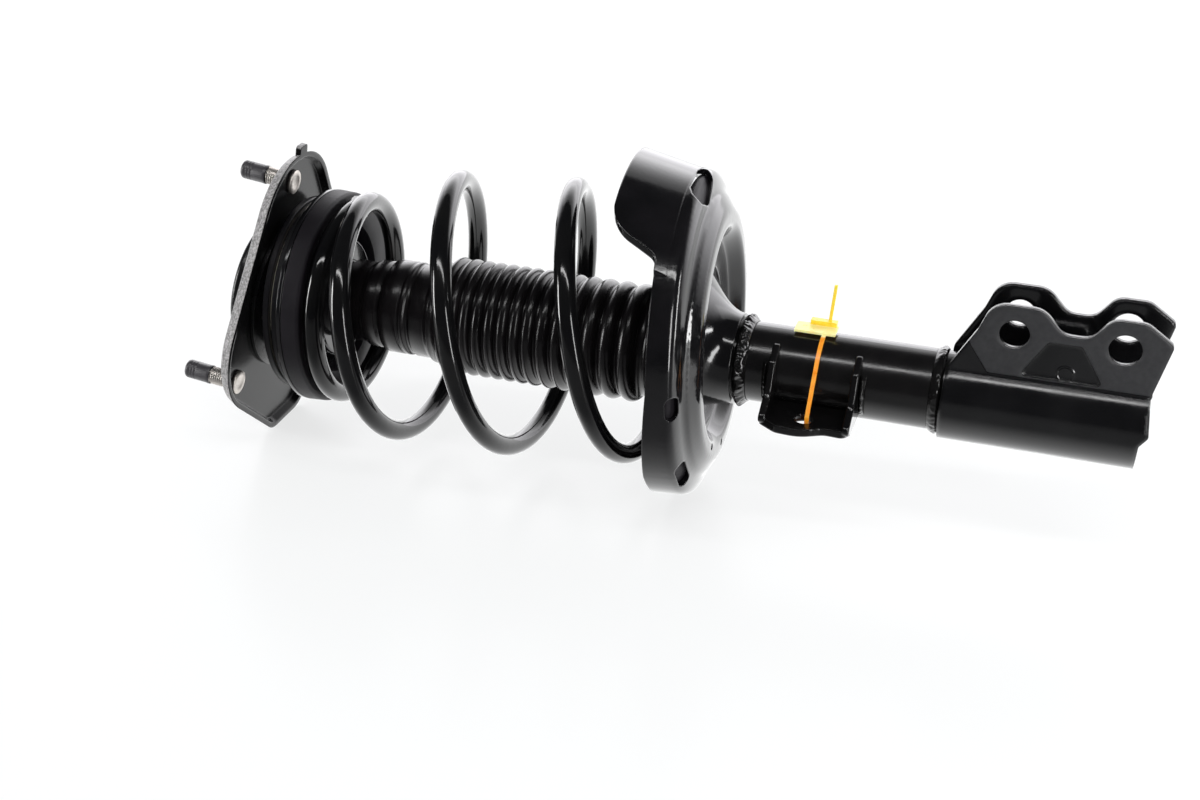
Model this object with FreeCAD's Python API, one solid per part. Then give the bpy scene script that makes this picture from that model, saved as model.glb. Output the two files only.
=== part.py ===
import FreeCAD, Part
import math
import os

# Suspension strut with coil spring, lying on its side.
# The damper axis is the X axis while the pieces are made: the top mount is at low X,
# the knuckle bracket at high X, the ears of the bracket point up (+Z), and the link
# bracket faces the viewer (-Y). At the end everything is moved so that the strut
# stands on Z = 0 with the middle of its outline at X = Y = 0.

os.makedirs("parts", exist_ok=True)
V = FreeCAD.Vector

# Damper
TUBE_R = 21.5
TUBE_WALL = 2.2
TUBE_TOP = 243.0
TUBE_END = 497.0
CYLINDER_R = 16.4
CYLINDER_BORE_R = 15.0
ROD_R = 10.0
ROD_END_R = 6.0
ROD_SHOULDER = 34.0
ROD_TOP = -2.0
ROD_FOOT = 283.0
GUIDE_TOP = 250.0
GUIDE_FOOT = 268.0
RUNNING_GAP = 0.05
SEAT_GAP = 0.1

# Spring
WIRE_R = 5.75
COIL_R = 70.9
SPRING_TILT_Y = 0.058
SPRING_TILT_Z = 0.078
SPRING_FOOT_X = 266.0
SPRING_HEAD_X = 62.9

# Lower spring seat, in its own frame: s along the seat's axis, r from it
SEAT_X = 255.0
SEAT_Z = 11.0
SEAT_TILT_Z = 0.045
SEAT_R = 88.5
SEAT_SHEET = 3.0
STEP_DEPTH = 1.4
SKIRT_EDGE = 2.5
LOW_EDGE = -3.0
SHIELD_EDGE = -22.4
SHIELD_R = 98.5
SHIELD_HALF = 59.5
FLOOR_S = 17.0
NECK_END = 290.5

# Top mount
PLATE_X = 18.5
PLATE_TILT_Z = -0.123
PLATE_SHEET = 3.0
PLATE_FLANGE = 6.8
PLATE_FLARE = 3.5
PLATE_CORNERS = [(25.5, 84.3, 43.0), (-25.5, 84.3, 43.0), (-87.5, -27.0, 40.0), (-17.0, -85.6, 16.0),
                 (17.0, -85.6, 16.0), (87.5, -27.0, 40.0)]
STUD_CIRCLE_R = 67.5
STUD_R = 5.0
STUD_POINT_R = 4.4
STUD_HEAD_R = 6.9
CAP_LENGTH = 15.5
CAP_WALL = 0.85
CUP_R = 39.0
CUP_HEIGHT = 13.5
STUD_TIP = -27.6
RACE_R = 57.0
BALL_CIRCLE_R = 48.5
BALL_R = 3.0
BALL_COUNT = 18
BALL_X = 37.8
RACE_FACE = 29.6

# Boot and bump stop
BOOT_WALL = 1.6
NECK_R = 23.0
COLLAR_R = 26.5
RIB_R = 32.8
VALLEY_R = 28.6
BOOT_BORE_R = 24.9

# Link bracket
LINK_X0 = 311.0
LINK_X1 = 359.0
LINK_SHEET = 4.0
LINK_TOP = -11.6
LINK_HOLE = (334.1, -35.0)
LINK_HOLE_R = 5.25

# Knuckle bracket
BRACKET_X0 = 401.0
BRACKET_X1 = 510.0
BRACKET_SHEET = 3.4
EAR_GAP = 24.0
HOLE_Z = 44.3
UPPER_HOLE_X = 433.2
LOWER_HOLE_X = 487.2
UPPER_HOLE_R = 7.6
LOWER_HOLE_R = 8.25

NODES = {}


# Small helpers

def at_xz(a, b):
    return V(a, 0, b)


def at_yz(a, b):
    return V(0, a, b)


def at_xy(a, b):
    return V(a, b, 0)


def rounded_edges(corners, lift, closed=True):
    """Lines and arcs through corners (a, b) or (a, b, radius), placed by lift(a, b)."""
    count = len(corners)
    spans = []
    for i, corner in enumerate(corners):
        p = V(corner[0], corner[1], 0)
        radius = corner[2] if len(corner) > 2 else 0
        inner = closed or 0 < i < count - 1
        if radius and inner:
            before = V(*corners[i - 1][:2], 0) - p
            after = V(*corners[(i + 1) % count][:2], 0) - p
            before.normalize()
            after.normalize()
            half = before.getAngle(after) / 2
            reach = radius / math.tan(half)
            middle = before + after
            middle.normalize()
            centre = p + middle * (radius / math.sin(half))
            spans.append((p + before * reach, centre - middle * radius, p + after * reach))
        else:
            spans.append((p, None, p))
    edges = []
    for i, (start, mid, end) in enumerate(spans):
        if mid is not None:
            arc = Part.Arc(lift(start.x, start.y), lift(mid.x, mid.y), lift(end.x, end.y))
            edges.append(arc.toShape())
        if closed or i < count - 1:
            following = spans[(i + 1) % count][0]
            if (following - end).Length > 1e-6:
                line = Part.LineSegment(lift(end.x, end.y), lift(following.x, following.y))
                edges.append(line.toShape())
    return edges


def face_of(corners, lift):
    return Part.Face(Part.Wire(rounded_edges(corners, lift)))


def turned(corners):
    """Solid of revolution about X from a closed outline of (x, r) corners."""
    return face_of(corners, at_xz).revolve(V(0, 0, 0), V(1, 0, 0), 360)


def tube(x0, x1, outer, inner):
    return turned([(x0, inner), (x1, inner), (x1, outer), (x0, outer)])


def rod(x0, x1, radius):
    return Part.makeCylinder(radius, x1 - x0, V(x0, 0, 0), V(1, 0, 0))


def sheet(corners, lift, thickness):
    """Flat section of a bent sheet: an open path and its offset, closed at both ends."""
    path = Part.Wire(rounded_edges(corners, lift, closed=False))
    return path.makeOffset2D(thickness, 0, True, True, False)


def hexagon(x0, x1, across_flats, bore):
    radius = across_flats / math.sqrt(3)
    points = []
    for k in range(6):
        angle = math.radians(60 * k)
        points.append(at_yz(radius * math.cos(angle), radius * math.sin(angle)))
    prism = Part.Face(Part.makePolygon(points + points[:1])).extrude(V(x1 - x0, 0, 0))
    prism.translate(V(x0, 0, 0))
    chamfer = across_flats / 2 + 0.4
    round_off = turned([(x0, 0), (x1, 0), (x1, chamfer), (x1 - 2, radius + 0.6),
                        (x0, radius + 0.6)])
    return prism.common(round_off).cut(rod(x0 - 1, x1 + 1, bore))


def tilted(x, z, tilt_y, tilt_z):
    """Placement of a frame whose own X axis leans by two small slopes."""
    turn = FreeCAD.Rotation(V(0, 0, 1), math.degrees(math.atan(tilt_y)))
    lean = FreeCAD.Rotation(V(0, 1, 0), -math.degrees(math.atan(tilt_z)))
    return FreeCAD.Placement(V(x, 0, z), turn.multiply(lean))


def placed(shape, placement):
    return shape.transformed(placement.toMatrix())


def about_x(shape, degrees):
    return shape.rotated(V(0, 0, 0), V(1, 0, 0), degrees)


SEAT_FRAME = tilted(SEAT_X, SEAT_Z, SPRING_TILT_Y, SEAT_TILT_Z)
SPRING_FRAME = tilted(SEAT_X, 13.7, SPRING_TILT_Y, SPRING_TILT_Z)
PLATE_FRAME = tilted(PLATE_X, 0, 0, PLATE_TILT_Z)


# Damper

def outer_tube():
    bore = TUBE_R - TUBE_WALL
    return tube(TUBE_TOP, TUBE_END, TUBE_R, bore)


def base_cap():
    outer = TUBE_R - TUBE_WALL - SEAT_GAP
    end = TUBE_END - 1.5
    return turned([(end - 8, outer - 2.2), (end - 8, outer), (end, outer, 3), (end - 2.6, 0),
                   (end - 5, 0), (end - 2.4, outer - 2.2, 2)])


def working_cylinder():
    return tube(GUIDE_FOOT - 5, 481.0, CYLINDER_R, CYLINDER_BORE_R)


def base_valve():
    outer = CYLINDER_BORE_R - SEAT_GAP
    return turned([(472, 2.5), (484, 2.5), (484, 9), (486.5, 12), (486.5, outer + 2.6),
                   (481.1, outer + 2.6), (481.1, outer), (472, outer)])


def rod_guide():
    bore = ROD_R + RUNNING_GAP
    outer = TUBE_R - TUBE_WALL - SEAT_GAP
    step = CYLINDER_BORE_R - SEAT_GAP
    return turned([(GUIDE_TOP, bore), (GUIDE_FOOT, bore), (GUIDE_FOOT, step),
                   (GUIDE_FOOT - 5.1, step), (GUIDE_FOOT - 5.1, outer), (GUIDE_TOP + 5, outer),
                   (GUIDE_TOP, outer - 2)])


def rod_seal():
    bore = ROD_R + RUNNING_GAP
    outer = TUBE_R - TUBE_WALL - SEAT_GAP
    return turned([(GUIDE_TOP - 5, bore + 1.5), (GUIDE_TOP - 3.5, bore), (GUIDE_TOP - 0.1, bore),
                   (GUIDE_TOP - 0.1, outer - 2.2), (GUIDE_TOP - 5, outer)])


def tube_cap():
    inner = TUBE_R + SEAT_GAP
    return turned([(TUBE_TOP - 3, ROD_R + 1.6), (TUBE_TOP - 3, inner + 1.6, 2.5),
                   (TUBE_TOP + 10, inner + 1.6), (TUBE_TOP + 10, inner), (TUBE_TOP - 0.6, inner),
                   (TUBE_TOP - 0.6, ROD_R + 1.6)])


def piston_rod():
    return turned([(ROD_TOP, 0), (ROD_TOP, ROD_END_R - 1), (ROD_TOP + 1, ROD_END_R),
                   (ROD_SHOULDER, ROD_END_R), (ROD_SHOULDER, ROD_R - 1), (ROD_SHOULDER + 1, ROD_R),
                   (ROD_FOOT, ROD_R), (ROD_FOOT, ROD_END_R), (ROD_FOOT + 27, ROD_END_R),
                   (ROD_FOOT + 27, 0)])


def rebound_stop():
    bore = ROD_R + SEAT_GAP
    return turned([(GUIDE_FOOT + 0.6, bore), (GUIDE_FOOT + 0.6, 13, 2), (GUIDE_FOOT + 9, 13.6, 2),
                   (GUIDE_FOOT + 12, 12.5), (GUIDE_FOOT + 12, bore)])


def piston():
    x0 = ROD_FOOT + 0.2
    outer = CYLINDER_BORE_R - 0.3
    bore = ROD_END_R + SEAT_GAP
    body = turned([(x0, bore), (x0 + 15, bore), (x0 + 15, outer), (x0 + 12, outer),
                   (x0 + 12, outer - 1.2), (x0 + 3, outer - 1.2), (x0 + 3, outer), (x0, outer)])
    passage = rod(x0 - 1, x0 + 16, 1.3).translated(V(0, 0, 10))
    passages = [about_x(passage, 60 * k) for k in range(6)]
    return body.cut(Part.Compound(passages))


def piston_band():
    x0 = ROD_FOOT + 3.3
    return tube(x0, x0 + 8.8, CYLINDER_BORE_R - 0.06, CYLINDER_BORE_R - 1.4)


def piston_nut():
    return hexagon(ROD_FOOT + 15.4, ROD_FOOT + 24, 19, ROD_END_R + SEAT_GAP)


# Top mount

def grown(corners, amount):
    """Outline of (a, b, radius) corners moved outwards all round by an amount."""
    result = []
    count = len(corners)
    for i, (a, b, radius) in enumerate(corners):
        p = V(a, b, 0)
        before = (V(*corners[i - 1][:2], 0) - p).normalize()
        after = (V(*corners[(i + 1) % count][:2], 0) - p).normalize()
        reach = amount / math.sin(before.getAngle(after) / 2)
        moved = p - (before + after).normalize() * reach
        result.append((moved.x, moved.y, radius + amount))
    return result


def plate_blank(inset, x0, x1):
    """Solid whose side walls open out evenly on the way from x0 to x1."""
    rings = []
    for x in (x0, x1):
        closing = PLATE_FLARE * (1 - (x + PLATE_SHEET / 2) / PLATE_FLANGE)
        edges = rounded_edges(grown(PLATE_CORNERS, -inset - closing), at_yz)
        rings.append(Part.Wire(edges).translated(V(x, 0, 0)))
    return Part.makeLoft(rings, True, True)


def mount_plate():
    half = PLATE_SHEET / 2
    rim = PLATE_FLANGE - half
    tray = plate_blank(0, -half, rim)
    tray = tray.makeFillet(3.5, [e for e in tray.Edges if e.BoundBox.XMax < -half + 0.01])
    hollow = plate_blank(PLATE_SHEET, half, rim + 1)
    shape = tray.cut(hollow)
    tab = Part.makeBox(3, 8.6, 7.5, V(rim - 3, 0.5, 81))
    tab = tab.makeFillet(2, [e for e in tab.Edges if e.BoundBox.ZMin > 88.4 and e.BoundBox.YLength < 0.1])
    shape = shape.fuse(tab)
    shape = shape.cut(rod(-20, 20, CUP_R - 1.9))
    for k in range(3):
        hole = rod(-20, 20, STUD_R + 0.6).translated(V(0, 0, STUD_CIRCLE_R))
        shape = shape.cut(about_x(hole, 120 * k))
    return placed(shape.removeSplitter(), PLATE_FRAME)


def mount_cup():
    """Housing pressed through the plate, with a turned lip behind it."""
    half = PLATE_SHEET / 2
    top = -half - CUP_HEIGHT
    shape = turned([(half + 0.1, CUP_R + 6), (half + 0.1, CUP_R - 2), (-half - 0.1, CUP_R - 2),
                    (-half - 0.1, CUP_R), (top, CUP_R, 3), (top, 24), (top + 2.2, 24),
                    (top + 2.2, CUP_R - 4.2, 2), (half + 2.3, CUP_R - 4.2), (half + 2.3, CUP_R + 6)])
    return placed(shape, PLATE_FRAME)


def cap_mouth():
    return STUD_TIP - 1.3 + CAP_LENGTH


def mount_stud():
    """Head in the tray, collar in the hole, shank, then the thinner point under the cap."""
    half = PLATE_SHEET / 2
    shank_end = cap_mouth() + 0.1
    return turned([(half + 0.05, 0), (half + 2.2, 0), (half + 2.2, STUD_HEAD_R - 0.5),
                   (half + 1.7, STUD_HEAD_R), (half + 0.05, STUD_HEAD_R), (half + 0.05, STUD_R + 0.5),
                   (-half, STUD_R + 0.5), (-half, STUD_R), (shank_end, STUD_R),
                   (shank_end, STUD_POINT_R), (STUD_TIP + 1, STUD_POINT_R), (STUD_TIP, STUD_POINT_R - 1),
                   (STUD_TIP, 0)])


def around_studs(shape):
    spaced = [about_x(shape.translated(V(0, 0, STUD_CIRCLE_R)), 120 * k) for k in range(3)]
    return [placed(s, PLATE_FRAME) for s in spaced]


def stud_cap():
    bore = STUD_POINT_R + RUNNING_GAP
    outer = bore + CAP_WALL
    end = STUD_TIP - 1.3
    return turned([(end, 0), (end, outer, 1.2), (cap_mouth(), outer), (cap_mouth(), bore),
                   (STUD_TIP - 0.1, bore), (STUD_TIP - 0.1, 0)])


def mount_sleeve():
    return turned([(13.2, ROD_END_R + SEAT_GAP), (ROD_SHOULDER - 0.1, ROD_END_R + SEAT_GAP),
                   (ROD_SHOULDER - 0.1, 22), (ROD_SHOULDER - 3, 22, 1),
                   (ROD_SHOULDER - 4.5, 11, 1), (13.2, 11)])


def mount_rubber():
    half = PLATE_SHEET / 2
    block = turned([(-half - CUP_HEIGHT + 2.3, 11.2), (-half - CUP_HEIGHT + 2.3, CUP_R - 6, 2),
                    (half + 3, CUP_R - 4.3), (half + 14, 30, 3), (half + 14, 11.2)])
    block = placed(block, PLATE_FRAME)
    flange = turned([(ROD_SHOULDER - 4.8, 10), (ROD_SHOULDER - 3.1, 22.3), (ROD_SHOULDER, 22.3),
                     (ROD_SHOULDER, 10)])
    for waste in (rod(0, 40, 11.1), rod(RACE_FACE - 0.1, 60, 70), flange, rod(-5, 13.2, 18)):
        block = block.cut(waste)
    return block


def rod_washer():
    return tube(10.6, 13.1, 17, ROD_END_R + SEAT_GAP)


def rod_nut():
    return hexagon(0.4, 10.5, 18, ROD_END_R + SEAT_GAP)


def bearing_upper_race():
    groove = BALL_R + 0.1
    ring = turned([(29.6, 24), (36.6, 24), (36.6, RACE_R - 1.5, 1), (33.0, RACE_R - 1.5, 1),
                   (31.0, 34, 1), (29.6, 34)])
    return ring.cut(Part.makeTorus(BALL_CIRCLE_R, groove, V(BALL_X, 0, 0), V(1, 0, 0)))


def bearing_lower_race():
    groove = BALL_R + 0.1
    ring = turned([(39.0, 38), (43.9, 38), (43.9, RACE_R, 1), (39.0, RACE_R, 1)])
    return ring.cut(Part.makeTorus(BALL_CIRCLE_R, groove, V(BALL_X, 0, 0), V(1, 0, 0)))


def bearing_cage():
    ring = tube(BALL_X - 0.9, BALL_X + 0.9, BALL_CIRCLE_R + 4, BALL_CIRCLE_R - 4)
    pocket = rod(BALL_X - 2, BALL_X + 2, BALL_R + 0.15).translated(V(0, 0, BALL_CIRCLE_R))
    pockets = [about_x(pocket, 360 * k / BALL_COUNT) for k in range(BALL_COUNT)]
    return ring.cut(Part.Compound(pockets))


def bearing_balls():
    ball = Part.makeSphere(BALL_R, V(BALL_X, 0, BALL_CIRCLE_R))
    return Part.Compound([about_x(ball, 360 * k / BALL_COUNT) for k in range(BALL_COUNT)])


def upper_spring_seat():
    """Steel dish that carries the spring pad, with a hub for the boot and the bump stop."""
    return turned([(44.0, 60.8), (46.4, 60.8), (46.4, 40, 2), (58.0, 33, 2), (58.0, 21.2, 1.5),
                   (72.0, 21.2), (72.0, 19.6), (55.8, 19.6, 1.5), (55.8, 31.4, 2), (44.0, 38.6, 2)])


def upper_spring_pad():
    face = SPRING_HEAD_X - WIRE_R - 0.1
    return turned([(46.5, 43), (46.5, 60.8, 1), (face, 60.2, 2), (face, 43)])


def bump_stop():
    bore = ROD_R + 0.3
    return turned([(ROD_SHOULDER + 0.1, bore), (ROD_SHOULDER + 0.1, 18.6), (74, 18.6), (77, 20.2, 2),
                   (84, 20.2, 2), (87, 17, 2), (90, 20.0, 2), (96, 20.0, 2), (99, 16.5, 2),
                   (102, 18.6, 2), (108, 18.0, 2), (111, 14.8, 2), (119, 13.8, 3), (119, bore)])


# Boot: neck, collar and ribs on one bore

def rib_stations():
    close = [127.0 + 7.28 * k for k in range(8)]
    wide = [186.6, 195.0, 203.8, 213.2, 223.2, 234.0]
    return close + wide


def dust_boot():
    start, end = 64.0, 246.0
    body = turned([(start, 10), (start, NECK_R), (76, NECK_R), (78.5, NECK_R + 1.8, 1),
                   (86, NECK_R + 1.8, 1), (87.5, NECK_R + 0.6), (89, COLLAR_R, 1), (104, COLLAR_R),
                   (104, COLLAR_R - 1), (107, COLLAR_R - 1), (107, COLLAR_R), (116, COLLAR_R),
                   (119, VALLEY_R), (119, 10)])
    circles = []
    ribs = rib_stations()
    for i, x in enumerate(ribs):
        reach = (ribs[i + 1] - x) / 2 if i + 1 < len(ribs) else (x - ribs[i - 1]) / 2
        before = (x - ribs[i - 1]) / 2 if i else reach
        profile = ((-before * 0.85, VALLEY_R), (-before * 0.3, RIB_R), (reach * 0.3, RIB_R),
                   (reach * 0.85, VALLEY_R))
        for offset, radius in profile:
            circles.append(Part.Wire(Part.makeCircle(radius, V(x + offset, 0, 0), V(1, 0, 0))))
    circles.append(Part.Wire(Part.makeCircle(VALLEY_R, V(end, 0, 0), V(1, 0, 0))))
    lead = rod(119.0, ribs[0] - (ribs[1] - ribs[0]) * 0.425, VALLEY_R)
    ribbed = Part.makeLoft(circles, True, True)
    shape = body.fuse([lead, ribbed]).removeSplitter()
    shape = shape.cut(rod(start - 1, 88.2, NECK_R - BOOT_WALL))
    return shape.cut(rod(88.2, end + 1, BOOT_BORE_R)).removeSplitter()


# Coil spring

def spring_profile(turn):
    """Distance along the axis and coil radius at a turn count, smooth between stations."""
    stations = [(-1.0, SPRING_HEAD_X, 52.6), (-0.5, SPRING_HEAD_X, 53.0), (0.0, 77.4, 60.9),
                (0.5, 101.3, 68.2), (1.0, 134.2, COIL_R), (1.5, 168.3, COIL_R), (2.0, 200.5, COIL_R),
                (2.5, 235.0, COIL_R), (3.0, 260.3, COIL_R), (3.25, SPRING_FOOT_X, COIL_R),
                (3.75, SPRING_FOOT_X, COIL_R)]
    values = []
    for k in (1, 2):
        rise = [(b[k] - a[k]) / (b[0] - a[0]) for a, b in zip(stations, stations[1:])]
        inner = [2 * a * b / (a + b) if a * b > 0 else 0 for a, b in zip(rise, rise[1:])]
        slopes = [rise[0]] + inner + [rise[-1]]
        i = max(j for j in range(len(stations) - 1) if turn >= stations[j][0] - 1e-9)
        width = stations[i + 1][0] - stations[i][0]
        u = (turn - stations[i][0]) / width
        a, b = stations[i][k], stations[i + 1][k]
        ma, mb = slopes[i] * width, slopes[i + 1] * width
        bend = u * u * (3 * (b - a) - 2 * ma - mb)
        values.append(a + u * ma + bend + u ** 3 * (2 * (a - b) + ma + mb))
    return values


def ease(value, low, high):
    u = min(max((value - low) / (high - low), 0), 1)
    return u * u * (3 - 2 * u)


def spring_point(turn):
    """Middle of the wire: square to the rod at the head, leaning in the coils, flush at the foot."""
    along, radius = spring_profile(turn)
    angle = 2 * math.pi * turn
    local = V(along - SEAT_X, -radius * math.sin(angle), radius * math.cos(angle))
    head = local + V(SEAT_X, 0, 0)
    coils = SPRING_FRAME.multVec(local)
    foot = SEAT_FRAME.multVec(local)
    point = head + (coils - head) * ease(turn, -0.9, 0.3)
    return point + (foot - coils) * ease(turn, 2.4, 3.25)


def biarc(p0, t0, p1, t1):
    """Two tangent arcs from p0 to p1 with the end directions t0 and t1."""
    chord = p1 - p0
    total = t0 + t1
    flat = 2 * (1 - t0.dot(t1))
    reach = (-chord.dot(total) + math.sqrt(chord.dot(total) ** 2 + flat * chord.dot(chord))) / flat
    q0 = p0 + t0 * reach
    q1 = p1 - t1 * reach
    joint = (q0 + q1) * 0.5
    edges = []
    for start, corner, end in ((p0, q0, joint), (joint, q1, p1)):
        middle = (start + end) * 0.5
        half_chord = (end - start).Length / 2
        half_angle = math.acos(half_chord / (corner - start).Length)
        sag = (corner - middle) * (math.tan(half_angle / 2) / math.tan(half_angle))
        edges.append(Part.Arc(start, middle + sag, end).toShape())
    return edges


def coil_spring():
    first, last, step = -1.0, 3.75, 0.25
    count = round((last - first) / step)
    turns = [first + step * i for i in range(count + 1)]
    points = [spring_point(t) for t in turns]
    tangents = []
    for t in turns:
        a = spring_point(max(t - 1e-4, first))
        b = spring_point(min(t + 1e-4, last))
        tangents.append((b - a).normalize())
    wire_d = 2 * WIRE_R
    lead_in = points[0] - tangents[0] * wire_d
    run_out = points[-1] + tangents[-1] * wire_d
    edges = [Part.LineSegment(lead_in, points[0]).toShape()]
    for i in range(count):
        edges += biarc(points[i], tangents[i], points[i + 1], tangents[i + 1])
    edges.append(Part.LineSegment(points[-1], run_out).toShape())
    path = Part.Wire(edges)
    ring = Part.Wire(Part.makeCircle(WIRE_R, lead_in, tangents[0]))
    shape = path.makePipeShell([ring], True, False)
    report_gap([spring_point(first + 0.01 * i) for i in range(int((last - first) * 100) + 1)])
    print("spring volume ratio", round(shape.Volume / (math.pi * WIRE_R ** 2 * path.Length), 4))
    return shape


def report_gap(points):
    """Least free gap between turns, on points a third of a turn or more apart."""
    count = len(points)
    least = min((points[i] - points[j]).Length for i in range(count) for j in range(i + 34, count))
    print("spring least gap", round(least - 2 * WIRE_R, 2))


# Lower spring seat, made in its own frame

def seat_section(skirt_start):
    return [(skirt_start, SEAT_R), (14.5, SEAT_R, 7), (22.3, 75, 6), (27.2, 58.8, 4.5),
            (FLOOR_S + 1, 52.5, 4), (FLOOR_S, 36.5)]


def pressed(skirt_start, thickness):
    """Solid of revolution of the seat's section, thickened inwards."""
    section = sheet(seat_section(skirt_start), at_xz, -thickness)
    solid = section.revolve(V(0, 0, 0), V(1, 0, 0), 360)
    if solid.Volume < 0:
        solid.reverse()
    return solid


def flared_sheet():
    """Cone that the shield is cut from: it leaves the skirt and opens towards the spring."""
    start, end = 10.0, SHIELD_EDGE - 3
    return turned([(start, SEAT_R), (start, SEAT_R - SEAT_SHEET), (end, SHIELD_R - SEAT_SHEET),
                   (end, SHIELD_R)])


def shield_prism():
    """What is kept of the flared shield, seen from above."""
    half = SHIELD_HALF
    outline = [(9.0, -half - 6), (SKIRT_EDGE, -half - 6), (SKIRT_EDGE, -half, 4),
               (SHIELD_EDGE, -half + 6, 14), (SHIELD_EDGE, half - 6, 14), (SKIRT_EDGE, half, 4),
               (SKIRT_EDGE, half + 6), (9.0, half + 6)]
    return face_of(outline, at_xy).extrude(V(0, 0, 130))


def round_ended(length, width):
    corner = width / 2 - 0.01
    a, b = width / 2, length / 2
    return [(-a, -b, corner), (a, -b, corner), (a, b, corner), (-a, b, corner)]


def shoulder_cutter(outline, angle, s, lean):
    """Prism through the shoulder of the seat at an angle from the top, leaning off the radius."""
    tool = face_of(outline, at_xy).extrude(V(0, 0, 24))
    tool.translate(V(0, 0, -12))
    tool.rotate(V(0, 0, 0), V(0, 1, 0), lean)
    tool.translate(V(s, 0, SEAT_R - 4))
    return about_x(tool, angle)


def step_beside_slot():
    """Shallow step in the outer face, from the small slot on to the low drain slot."""
    outline = [(15.4, 17.3), (11.1, 0.8, 3), (13.0, -16.0, 4), (16.5, -27.0, 5), (23.5, -27.0, 4),
               (21.0, -8.0, 3), (16.6, 8.0, 3)]
    prism = face_of(outline, at_xy).extrude(V(0, 0, 40)).translated(V(0, 0, 60))
    return pressed(SKIRT_EDGE, STEP_DEPTH).common(about_x(prism, 110))


def seat_hole(angle, radius, hole_r):
    hole = rod(5, 40, hole_r).translated(V(0, 0, radius))
    return about_x(hole, angle)


def lower_spring_seat():
    dish = pressed(SHIELD_EDGE, SEAT_SHEET)
    side = [(SKIRT_EDGE, 9), (SKIRT_EDGE, 4, 6), (LOW_EDGE, -52, 12), (LOW_EDGE, -110), (-60, -110),
            (-60, 110), (SKIRT_EDGE, 110)]
    waste = face_of(side, at_xz).extrude(V(0, 240, 0)).translated(V(0, -120, 0))
    dish = dish.cut(waste)
    dish = dish.fuse(flared_sheet().common(shield_prism()))
    window = [(-4.8, 26.0, 2), (-7.2, 15.4, 4), (-6.9, -8.0, 6), (-1.4, -21.5, 5), (7.8, -7.2, 5),
              (2.2, 15.7, 6)]
    slots = [shoulder_cutter(window, 3, 16, 42),
             shoulder_cutter(round_ended(13, 7), 92.5, 15.3, 12),
             shoulder_cutter(round_ended(24, 8), 128, 17.5, 35)]
    holes = [seat_hole(-75.6, 81.4, 2.2), seat_hole(144, 61.5, 1.9), seat_hole(171, 61.5, 1.9)]
    dish = dish.cut(Part.Compound(slots + holes))
    dish = dish.cut(step_beside_slot())
    neck = seat_neck()
    return placed(dish, SEAT_FRAME).fuse(neck).removeSplitter()


def seat_neck():
    """Skewed funnel from the tilted floor of the dish down to the tube."""
    def on_seat(radius, s):
        circle = Part.Wire(Part.makeCircle(radius, V(s, 0, 0), V(1, 0, 0)))
        return placed(circle, SEAT_FRAME)

    def on_tube(radius, x, z):
        return Part.Wire(Part.makeCircle(radius, V(x, 0, z), V(1, 0, 0)))

    root = FLOOR_S - SEAT_SHEET
    bore = TUBE_R + SEAT_GAP
    outer = Part.makeLoft([on_seat(38.0, root), on_tube(30.2, 277, 3.2), on_tube(26.2, 284, 0.6),
                           on_tube(bore + SEAT_SHEET, NECK_END, 0)], True, False)
    inner = Part.makeLoft([on_seat(34.8, root - 0.01), on_tube(27.0, 277, 3.2), on_tube(23.0, 284, 0.6),
                           on_tube(bore, NECK_END + 0.01, 0)], True, False)
    return outer.cut(inner).cut(rod(275, 300, bore))


def seat_weld():
    r = TUBE_R + SEAT_GAP
    x = NECK_END + 0.1
    return turned([(x, r), (x, r + 4.2), (x + 3, r + 5.0, 2.5), (x + 8.5, r)])


def lower_spring_pad():
    """Rubber ring between the foot of the spring and the inside of the dish."""
    face = SPRING_FOOT_X - SEAT_X + WIRE_R + 0.1
    shape = turned([(face, 65.0), (21.8, 65.0), (19.0, 74.4), (face, 77.6)])
    return placed(shape, SEAT_FRAME)


# Link bracket

def link_bracket():
    """U channel on the near side of the tube, its web pierced for the link."""
    r = TUBE_R + SEAT_GAP
    low = LINK_TOP - LINK_SHEET
    outline = [(-14.0, low), (-40.0, low, 3), (-44.5, LINK_TOP, 3), (-31.0, -2.0, 14), (-24.5, 13.0, 5),
               (-12.0, 19.5, 4), (-5.0, 10.0)]
    flange = face_of(outline, at_yz).extrude(V(LINK_SHEET, 0, 0))
    rim = []
    for edge in flange.Edges:
        box = edge.BoundBox
        if box.XLength < 0.01 and box.ZMin > LINK_TOP - 0.9 and box.YMax < -8:
            rim.append(edge)
    flange = flange.makeFillet(1.2, rim)
    left = flange.translated(V(LINK_X0, 0, 0))
    right = flange.translated(V(LINK_X1 - LINK_SHEET, 0, 0))
    x0, x1 = LINK_X0, LINK_X1
    web_outline = [(x0, -14), (x0, -40, 5), (x0 + 10, -47.5, 8), (334, -48.5, 20), (346, -42.0, 8),
                   (x1 - 3, -42.5, 4), (x1, -38, 3), (x1, -14)]
    web = face_of(web_outline, at_xy).extrude(V(0, 0, LINK_SHEET))
    web.translate(V(0, 0, LINK_TOP - LINK_SHEET))
    shape = web.fuse([left, right]).removeSplitter()
    shape = shape.cut(rod(x0 - 5, x1 + 5, r))
    hole = Part.makeCylinder(LINK_HOLE_R, 20, V(LINK_HOLE[0], LINK_HOLE[1], LINK_TOP - 10))
    return shape.cut(hole)


def link_bracket_welds():
    """One bead along the outer foot of each flange, following the tube."""
    r = TUBE_R + SEAT_GAP
    left, right = LINK_X0 - 0.1, LINK_X1 + 0.1
    beads = []
    for far, near in ((left - 3.3, left), (right + 3.3, right)):
        corners = [(far, r), (near, r), (near, r + 3)]
        ring = face_of(corners, at_xz).revolve(V(0, 0, 0), V(1, 0, 0), 62)
        beads.append(about_x(ring, 62))
    return Part.Compound(beads)


# Knuckle bracket

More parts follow.
